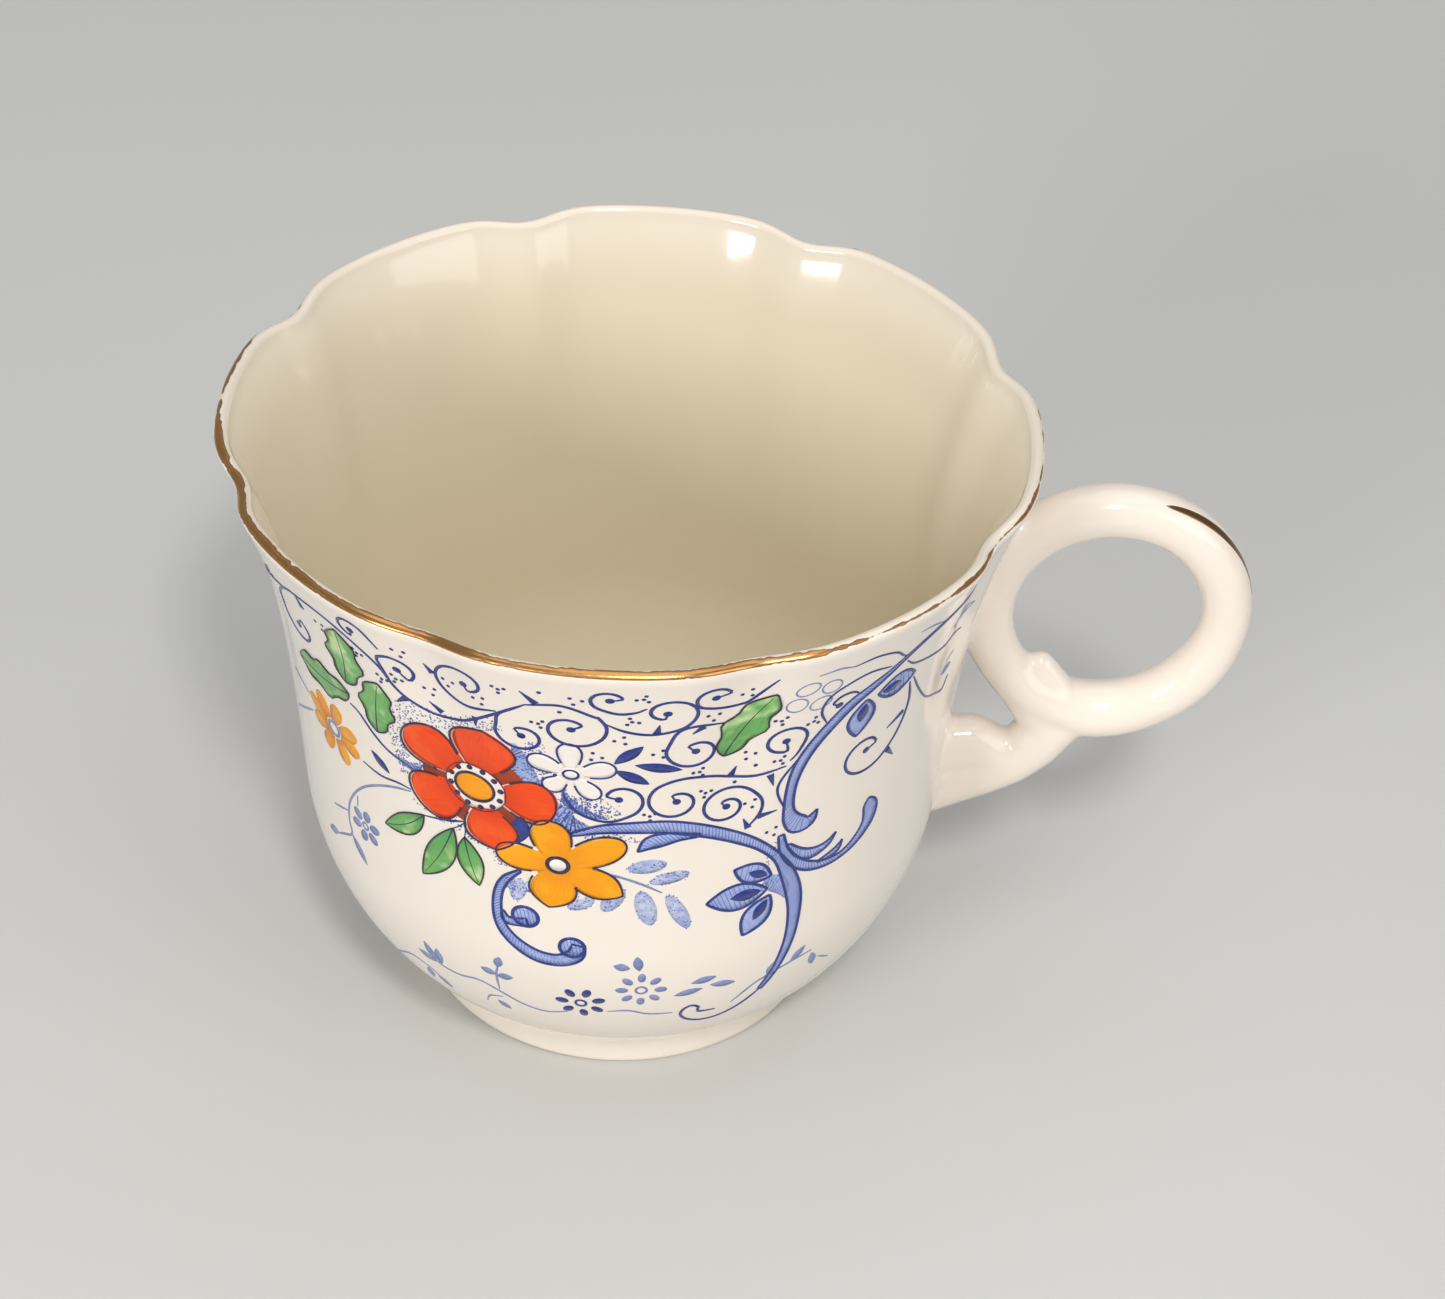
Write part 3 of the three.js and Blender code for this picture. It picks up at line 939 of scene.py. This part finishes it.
PATCHES = [
    # close hatching where the lower drops root
    [(-41, 36.6, 0.3), (-39.8, 35.4, 1.1), (-38.8, 34.2, 0.9), (-38.2, 32.6, 0.2)],
]

# middles of the flowers
RED = (-70.9, 49.1)
YELLOW = (-62.6, 40.3)
WHITE = (-61.1, 54.1)
AMBER = (-90.1, 45.9)


def draw_blue(tone, pale, hatching, ink):
    """Scrolls, drops, leaves and shading: pale tone, with hatching, dots and outlines over it."""
    for points in BANDS:
        run = tone.brush(points)
        hatching.hatch(run)
        ink.edge(run)
    for centre, radius in (((-61.2, 28.3), 1.35), ((-66.2, 31.8), 1.4)):
        ball = disc(centre, radius)
        tone.fill(ball, 2)
        hatching.hatch(ball, 0.3)
        ink.edge(ball, 0.2)
    for root, tip, half in DROPS:
        body = shaped(root, tip, half, pointed)
        tone.fill(body, 4)
        hatching.hatch(body)
        ink.edge(body, 0.17)
        core = [Vector(root).lerp(Vector(tip), t) for t in (0.1, 0.62)]
        ink.fill(shaped(*core, half * 0.42, pointed))
    for points in PATCHES:
        hatching.hatch(tone.brush(points, 3))
    for centre, length, half, degrees in STIPPLED_LEAVES:
        leaf = disc(centre, length, half, degrees)
        pale.fill([(x, y, h * (0.85 + 0.15 * pointed(i / 20))) for i, (x, y, h) in enumerate(leaf)], 3)
        hatching.stipple(leaf, 70, 0.08)
    for points in GROUNDS:
        run = tone.brush(points, 4)
        hatching.hatch(run, 0.4, 2, 0.07)
        hatching.hatch(run[::-1], 0.4, 2, 0.07)
        hatching.stipple(run, 120, 0.13)
    for points, count in SHADES:
        hatching.stipple(curve_through(points), count, 0.085)
    ink.fill(shaped((-66.1, 46.6), (-66.7, 42.4), 1.05, pointed), 3)


def draw_ink(ink):
    """Curls, tendrils, berries and stems, in the darkest blue."""
    for centre, start, sweep, inner, outer, tail in CURLS:
        ink.line(curl(centre, start, sweep, inner, outer) + tail, 0.17)
        ink.dot(centre, 0.42)
    for tendril in TENDRILS:
        ink.line(tendril, 0.13)
    for base, tip in THORNS:
        ink.fill(curve_through([(*base, 0.05), (*tip, 0.38)]), 1)
    for u, v in CLUSTERS:
        turn = ink.random.uniform(0, 2)
        for i in range(ink.random.choice((3, 3, 4))):
            angle = turn + i * math.tau / 3
            reach = 0.62 if i < 3 else 0.0
            ink.dot((u + reach * math.cos(angle), v + reach * math.sin(angle)), 0.2, 7)
    for spot in SINGLE_DOTS:
        ink.dot(spot, 0.22, 7)
    for base, tip in BLUE_LEAVES:
        ink.fill(shaped(base, tip, 0.68, pointed), 2)
    ink.line([(-99.5, 62.6), (-96, 63.6), (-91.2, 65.2)])
    ink.line([(-39.3, 53.4), (-40.9, 49.7), (-39.7, 45.9)], 0.14)
    ink.line([(-36.9, 57.7), (-37.9, 60), (-37.6, 62), (-36.3, 63.2), (-33.7, 64), (-31, 63.2)], 0.14)
    ink.line([(-78, 48.2), (-80.9, 49), (-82.8, 50.4), (-84.4, 52.3), (-85.6, 52.8)])
    ink.line([(-39.4, 18.1), (-41.6, 15.3), (-43.8, 13.7), (-45.9, 13.4), (-47.8, 14.3), (-48.8, 15.8),
              (-48.6, 17.1), (-47.7, 17.8), (-46.8, 17.2), (-46.7, 16.1), (-44.6, 15.9)], 0.18)
    for tip in ((-77.4, 41.8), (-75.9, 42.2), (-73.9, 41.7), (-72.6, 41)):
        ink.line([(-72.3, 43.4), ((tip[0] - 72.3) / 2, (tip[1] + 43.1) / 2), tip], 0.11)
    ink.line([(-78.7, 44.8), (-80.3, 44.8), (-82.8, 44.3), (-85.4, 44.6)], 0.12)
    ink.fill(shaped((-83.65, 47.4), (-81.4, 45.45), 0.55, pointed), 1)


def draw_white_flower(white, ink):
    for degrees, outer, half in (
        (91, 4.8, 1.15), (20, 4.4, 1.25), (-54, 4.2, 1.05), (-132, 3.6, 1.1), (154, 4.4, 1.25),
    ):
        bloom = petal(WHITE, degrees, 1.1, outer, half)
        white.fill(bloom, 4)
        ink.edge(bloom, 0.11, 5)
    white.fill(disc(WHITE, 0.95), 2)
    ink.edge(disc(WHITE, 0.72, 0.66), 0.13)


def draw_red_flower(brown, red, white, yellow, ink):
    brown.fill(disc(RED, 5.9), 14)
    for degrees, outer, half, outline in (
        (80, 9.3, 3.5, peaked), (143, 9.0, 3.1, rounded), (215, 8.6, 3.1, rounded),
        (283, 8.6, 2.95, peaked), (358, 8.3, 3.1, rounded),
    ):
        bloom = petal(RED, degrees, 2.9, outer, half, outline)
        white.fill(bloom, 8)
        red.fill(moved(bloom, 0.2, 0.08, 0.97), 8, 0.04)
        ink.edge(bloom, 0.11, 5)
    white.fill(disc(RED, 3.3), 8)
    ink.edge(disc(RED, 3.3), 0.05)
    centre = disc((RED[0] - 0.1, RED[1]), 2.15, 1.95)
    yellow.fill(centre, 6, 0.04)
    ink.edge(centre, 0.15)
    for i in range(12):
        angle = math.tau * (i + 0.3) / 12
        ink.dot((RED[0] + 2.8 * math.cos(angle), RED[1] + 2.8 * math.sin(angle)), 0.33)


def draw_yellow_flower(yellow, white, ink):
    yellow.fill(disc(YELLOW, 2.6), 6)
    for degrees, outer, half, outline in (
        (100, 6.4, 2.1, rounded), (31, 7.8, 1.95, rounded), (-30, 7.6, 2.0, peaked),
        (-99, 6.4, 2.5, peaked), (176, 6.5, 1.85, rounded),
    ):
        bloom = petal(YELLOW, degrees, 0.6, outer, half, outline)
        white.fill(bloom, 6)
        yellow.fill(moved(bloom, 0.1, -0.1, 0.97), 7, 0.04)
        ink.edge(bloom, 0.1, 8)
    ink.edge(disc(YELLOW, 1.1), 0.2)
    ink.edge(disc(YELLOW, 0.9), 0.05)


def draw_green(green, ink):
    for base, tip, half, outline, bend in GREEN_LEAVES:
        leaf = shaped(base, tip, half, outline, bend)
        green.fill(leaf, 6, 0.04)
        ink.edge(leaf, 0.08)
        ink.fill([(x, y, 0.08 * (1 - 0.8 * i / len(leaf))) for i, (x, y, _) in enumerate(leaf[1:-3])])


def draw_amber(amber, faint):
    for x, y in ((-91.7, 48.8), (-88.9, 49), (-87, 47.05), (-87, 45), (-88.8, 42.9), (-91.8, 43.05),
                 (-93.3, 45), (-93.6, 47.2)):
        degrees = math.degrees(math.atan2(y - AMBER[1], x - AMBER[0]))
        amber.fill(petal(AMBER, degrees, 1.3, math.dist((x, y), AMBER) + 1.1, 1.0), 3, 0.03)
    faint.edge(disc(AMBER, 0.9), 0.2)


def daisy(layer, centre, reach, petals, length, half, turn=0.0):
    for i in range(petals):
        degrees = turn + 360 * i / petals
        layer.fill(petal(centre, degrees, reach - length, reach + length, half, oval), 1)
    layer.edge(disc(centre, reach * 0.28), 0.14)


def draw_faint(faint, ink):
    """The grey-blue sprigs, with one small daisy in the darker ink."""
    daisy(ink, (-60.4, 18.9), 2.15, 7, 0.75, 0.5, 20)
    daisy(faint, (-53.7, 21.9), 2.15, 8, 0.7, 0.45)
    daisy(faint, (-86.7, 34.4), 1.6, 6, 0.8, 0.6, 15)
    for line in (
        [(-79.8, 19.7), (-77.2, 18.6), (-75.1, 18.4), (-72.5, 19), (-69.9, 17.9), (-67.3, 16.3),
         (-64.7, 15.7), (-62.1, 16.5)],
        [(-57.4, 17.4), (-55, 17.7), (-52.7, 16.8), (-49.8, 16.6)],
        [(-87.8, 12.9), (-85.5, 15), (-82.9, 16.7), (-80.3, 16.3), (-79.3, 15.3)],
        [(-70, 18.4), (-70, 21.5), (-69.5, 23.6)], [(-69.9, 16.8), (-71.7, 16), (-72.5, 14.2)],
        [(-42.8, 16.8), (-40.2, 19.9), (-36.5, 21.5), (-33.4, 22.1)], [(-31.9, 19.9), (-29.8, 18.4)],
        [(-39.5, 66.9), (-37.6, 67.1), (-36, 66.5)], [(-28.8, 67.1), (-27.2, 66.9), (-25.2, 66)],
        [(-16.1, 54.3), (-17.6, 53.6)], [(-20, 61.7), (-16.4, 60.7)], [(-19.4, 61.2), (-16.8, 60.3)],
        [(-95, 44.7), (-97.6, 43), (-102.7, 39.5)], [(-95, 47), (-97.6, 47.2), (-100.8, 46.2)],
        [(-78.7, 44.5), (-80.9, 43.8), (-83.5, 42.4), (-86, 40.5), (-88, 38.2), (-89.4, 35.7),
         (-89.9, 33.1), (-89.7, 31.2), (-91.8, 29.7), (-93.4, 28.6)],
        [(-87.5, 38.2), (-87.7, 36.6)], [(-89.9, 34.4), (-93.1, 33.1)],
        [(-59.6, 39.9), (-56.8, 39.35), (-54.2, 38.2), (-52, 36.8)],
    ):
        faint.line(line, 0.15)
    for base, tip in (
        ((-70, 21.4), (-71.9, 21.8)), ((-70, 21.2), (-68, 21.6)), ((-69.8, 22.8), (-69.4, 24.6)),
        ((-70.8, 15.4), (-69.4, 13.8)), ((-78.2, 19), (-79.4, 22)), ((-77.6, 18.8), (-77.7, 21.8)),
        ((-78.4, 18.8), (-80.8, 19.6)), ((-80.5, 16), (-81, 13.2)), ((-79.4, 15.3), (-78, 13)),
        ((-33.2, 21.4), (-32.4, 18.8)), ((-54, 25.2), (-54.3, 27.4)), ((-56.8, 26), (-55, 25.6)),
        ((-89.7, 31.2), (-87.2, 28.4)), ((-93, 29), (-95.4, 28)), ((-16, 52.5), (-18.5, 52.5)),
        ((-50, 20.4), (-46.8, 21.2)), ((-46, 21.6), (-43, 21.2)), ((-48.2, 22.4), (-45.4, 23)),
        ((-36.2, 21.6), (-34.6, 23.6)), ((-39, 20.6), (-38.4, 22.8)),
    ):
        faint.fill(shaped(base, tip, 0.55, pointed), 1)
    faint.edge(shaped((-21.4, 61.9), (-15, 60.4), 0.6, pointed), 0.1)
    for i in range(4):
        faint.edge(petal((-39.2, 63.3), 90 * i + 30, 0.8, 2.7, 1.1, oval), 0.08)


def draw_decoration():
    """Thirteen layers, each lifted a little more off the wall than what it covers."""
    tone = Layer(
        "blue_tone",
        print_paint("tone_blue", (0.27, 0.34, 0.65), (0.44, 0.50, 0.74), 0.9),
        "blue_print", 0.02,
    )
    pale = Layer(
        "pale_leaves",
        print_paint("pale_blue", (0.30, 0.36, 0.62), (0.60, 0.63, 0.76), 1.3),
        "blue_print", 0.02,
    )
    hatching = Layer(
        "blue_hatching",
        print_paint("hatch_blue", (0.10, 0.14, 0.42), (0.19, 0.24, 0.52)),
        "blue_print", 0.03,
    )
    faint = Layer(
        "grey_sprigs",
        print_paint("faint_blue", (0.17, 0.22, 0.46), (0.42, 0.45, 0.62)),
        "blue_print", 0.035,
    )
    white = Layer(
        "white_reserve",
        print_paint("white_reserve", WHITE_LIGHT, WHITE_DEEP),
        "blue_print", 0.04,
    )
    ink = Layer(
        "blue_lines",
        print_paint("ink_blue", (0.015, 0.03, 0.19), (0.05, 0.08, 0.32), 0.7),
        "blue_print", 0.05,
    )
    brown = Layer(
        "brown_ground",
        enamel("brown_enamel", (0.34, 0.04, 0.006), (0.16, 0.02, 0.006), (0.42, 0.07, 0.01)),
        "red_enamel", 0.035,
    )
    red = Layer(
        "red_petals",
        enamel("red_enamel", (0.87, 0.068, 0.002), (0.55, 0.03, 0.002), (0.93, 0.15, 0.02)),
        "red_enamel", 0.055, raised=True,
    )
    yellow = Layer(
        "yellow_petals",
        enamel("yellow_enamel", (0.93, 0.36, 0.002), (0.68, 0.19, 0.002), (0.96, 0.46, 0.01)),
        "yellow_enamel", 0.06, raised=True,
    )
    amber = Layer(
        "amber_petals",
        enamel("amber_enamel", (0.80, 0.33, 0.012), (0.50, 0.14, 0.01), (0.90, 0.48, 0.06)),
        "yellow_enamel", 0.06, raised=True,
    )
    green = Layer(
        "green_leaves",
        enamel("green_enamel", (0.17, 0.44, 0.12), (0.015, 0.17, 0.05), (0.62, 0.78, 0.40), 0.75),
        "green_enamel", 0.06, raised=True,
    )
    centres = Layer(
        "white_centres",
        print_paint("white_centre", WHITE_LIGHT, WHITE_DEEP),
        "blue_print", 0.11,
    )
    outlines = Layer(
        "dark_outlines",
        print_paint("outline_ink", (0.03, 0.02, 0.05), (0.09, 0.05, 0.08)),
        "blue_print", 0.12,
    )
    centres.fill(disc(YELLOW, 1.0), 2)
    draw_blue(tone, pale, hatching, ink)
    draw_ink(ink)
    draw_faint(faint, ink)
    draw_white_flower(white, ink)
    draw_red_flower(brown, red, white, yellow, outlines)
    draw_yellow_flower(yellow, white, outlines)
    draw_green(green, outlines)
    draw_amber(amber, faint)
    for layer in (
        tone, pale, hatching, faint, white, ink, brown, red, yellow, amber, green, centres, outlines,
    ):
        layer.wrap()


# ---------------------------------------------------------------- gilding

# how far round the lip the gold goes, in degrees from its outer side
GILT_START = 22
GILT_STOP = 106


def make_rim_gilding(material):
    """A thin closed band over the lip, narrower towards the handle."""
    middle = LIP_MIDDLE
    profile = []
    for radius, start, stop in (
        (LIP / 2 + 0.03, GILT_START, GILT_STOP), (LIP / 2 - 0.12, GILT_STOP, GILT_START),
    ):
        for i in range(9):
            angle = math.radians(start + (stop - start) * i / 8)
            profile.append((middle[0] + radius * math.cos(angle), middle[1] + radius * math.sin(angle)))
    bm = spun(profile, closed=True)
    across = bm.verts.layers.float.new("across")
    for vert in bm.verts:
        x, y, z = vert.co.x / MM - AXIS_X, vert.co.y / MM, vert.co.z / MM
        radius = math.hypot(x, y)
        turn = math.degrees(math.atan2(z - middle[1], radius - middle[0]))
        vert[across] = clamp((turn - GILT_START) / (GILT_STOP - GILT_START))
        kept = math.radians(GILT_START + (turn - GILT_START) * (1 - 0.5 * smoothstep(x, 8, 34)))
        reach = math.hypot(z - middle[1], radius - middle[0])
        vert.co = scalloped(
            middle[0] + reach * math.cos(kept),
            math.atan2(y, x),
            middle[1] + reach * math.sin(kept),
        )
    finish_piece("rim_gilding", bm, material)


def make_handle_gilding(material, casting):
    """One tapered brush stroke over the top of the ring, laid on the casting's own surface."""
    surface = BVHTree.FromPolygons(
        [vert.co for vert in casting.data.vertices],
        [polygon.vertices for polygon in casting.data.polygons],
    )
    bm = bmesh.new()
    bm.loops.layers.uv.new("drawn")
    across_of = bm.verts.layers.float.new("across")
    for vert in bmesh.ops.create_grid(
        bm, x_segments=6, y_segments=40, size=1.0, calc_uvs=True,
    )["verts"]:
        across, along = vert.co.x, (vert.co.y + 1) / 2
        middle, outward, section = ring_at(72 - 62 * along)
        half = 9 * hump(along ** 0.7) ** 0.8 + 0.5
        lean = math.radians(30 - 29 * along + half * across)
        away = outward * math.cos(lean) - Vector((0, 1, 0)) * math.sin(lean)
        middle = (middle + Vector((AXIS_X, 0, 0))) * MM
        spot = surface.ray_cast(middle + away * (section + 3) * MM, -away)[0]
        vert.co = spot + away * 0.03 * MM
        vert[across_of] = 0.42 + 0.42 * across
    bm.normal_update()
    hub = Vector((AXIS_X + RING_REACH, 0, RING_HEIGHT)) * MM
    inward = [face for face in bm.faces if face.normal.dot(face.calc_center_median() - hub) < 0]
    bmesh.ops.reverse_faces(bm, faces=inward)
    finish_piece("handle_gilding", bm, material, thickness=0.12)


# ---------------------------------------------------------------- camera, floor and light

AIM = Vector((-0.00167, 0, 0.04058))
VIEW_AZIMUTH = math.radians(1.609)
VIEW_ELEVATION = math.radians(38.28)
VIEW_DISTANCE = 0.3773
VIEW_ROLL = math.radians(2.642)


def make_camera():
    data = bpy.data.cameras.new("camera")
    data.lens = 87.5
    data.sensor_width = 36.0
    data.clip_start = 0.01
    camera = bpy.data.objects.new("camera", data)
    bpy.context.collection.objects.link(camera)
    level = math.cos(VIEW_ELEVATION)
    forward = Vector((
        math.sin(VIEW_AZIMUTH) * level,
        math.cos(VIEW_AZIMUTH) * level,
        -math.sin(VIEW_ELEVATION),
    ))
    camera.location = AIM - forward * VIEW_DISTANCE
    turn = forward.to_track_quat("-Z", "Y").to_matrix().to_4x4()
    camera.rotation_euler = (turn @ Matrix.Rotation(VIEW_ROLL, 4, "Z")).to_euler()
    bpy.context.scene.camera = camera


def make_floor():
    bm = bmesh.new()
    bmesh.ops.create_grid(bm, x_segments=1, y_segments=1, size=3.0)
    mesh = bpy.data.meshes.new("floor")
    bm.to_mesh(mesh)
    bm.free()
    finish = Finish("floor_paint", Roughness=0.6, Specular_IOR_Level=0.3)
    tone = finish.blend(finish.grain(3.0, 2.0), (0.60, 0.60, 0.585), (0.64, 0.64, 0.625))
    mesh.materials.append(finish.surface(Base_Color=tone))
    floor = bpy.data.objects.new("floor", mesh)
    bpy.context.collection.objects.link(floor)


def make_light(name, place, aim, size, power, tint, size_y=None):
    data = bpy.data.lights.new(name, "AREA")
    data.shape = "RECTANGLE"
    data.size = size
    data.size_y = size_y or size
    data.energy = power
    data.color = tint
    light = bpy.data.objects.new(name, data)
    bpy.context.collection.objects.link(light)
    light.location = place
    light.rotation_euler = (Vector(aim) - Vector(place)).to_track_quat("-Z", "Y").to_euler()


def make_lights():
    make_light("window", (0.10, -0.62, 0.78), (0, 0, 0.04), 0.11, 3.6, (1.0, 0.98, 0.95), size_y=0.15)
    make_light("sky_left", (-0.56, -0.76, 0.36), (0, 0, 0.03), 0.28, 4.2, (1.0, 0.985, 0.965))
    make_light("sky_right", (0.74, -0.5, 0.36), (0.02, 0, 0.03), 0.6, 1.8, (1.0, 0.98, 0.95))
    make_light("sky_top", (0.1, 0.1, 1.2), (0, 0, 0.03), 1.2, 4.4, (1.0, 0.985, 0.97))
    world = bpy.data.worlds.new("room")
    world.use_nodes = True
    world.node_tree.nodes["Background"].inputs[0].default_value = (0.84, 0.86, 0.88, 1)
    world.node_tree.nodes["Background"].inputs[1].default_value = 0.34
    bpy.context.scene.world = world


bpy.context.scene.view_settings.view_transform = "Standard"
make_camera()
make_floor()
make_lights()

china = glaze("cream_glaze")
handle_china = glaze("handle_glaze", (0.88, 0.79, 0.70), (0.82, 0.71, 0.61))
make_bowl(china)
make_foot(glaze("foot_glaze", (0.89, 0.81, 0.715), (0.80, 0.70, 0.59)))
casting = make_handle(handle_china)
draw_decoration()
make_rim_gilding(gold("rim_gold", 0.0))
# The ring's gilding is a darker brown than the rim's: painted shade, standing in for the darker reflection
# it shows.
make_handle_gilding(gold("handle_gold", -0.3, (0.30, 0.17, 0.08)), casting)
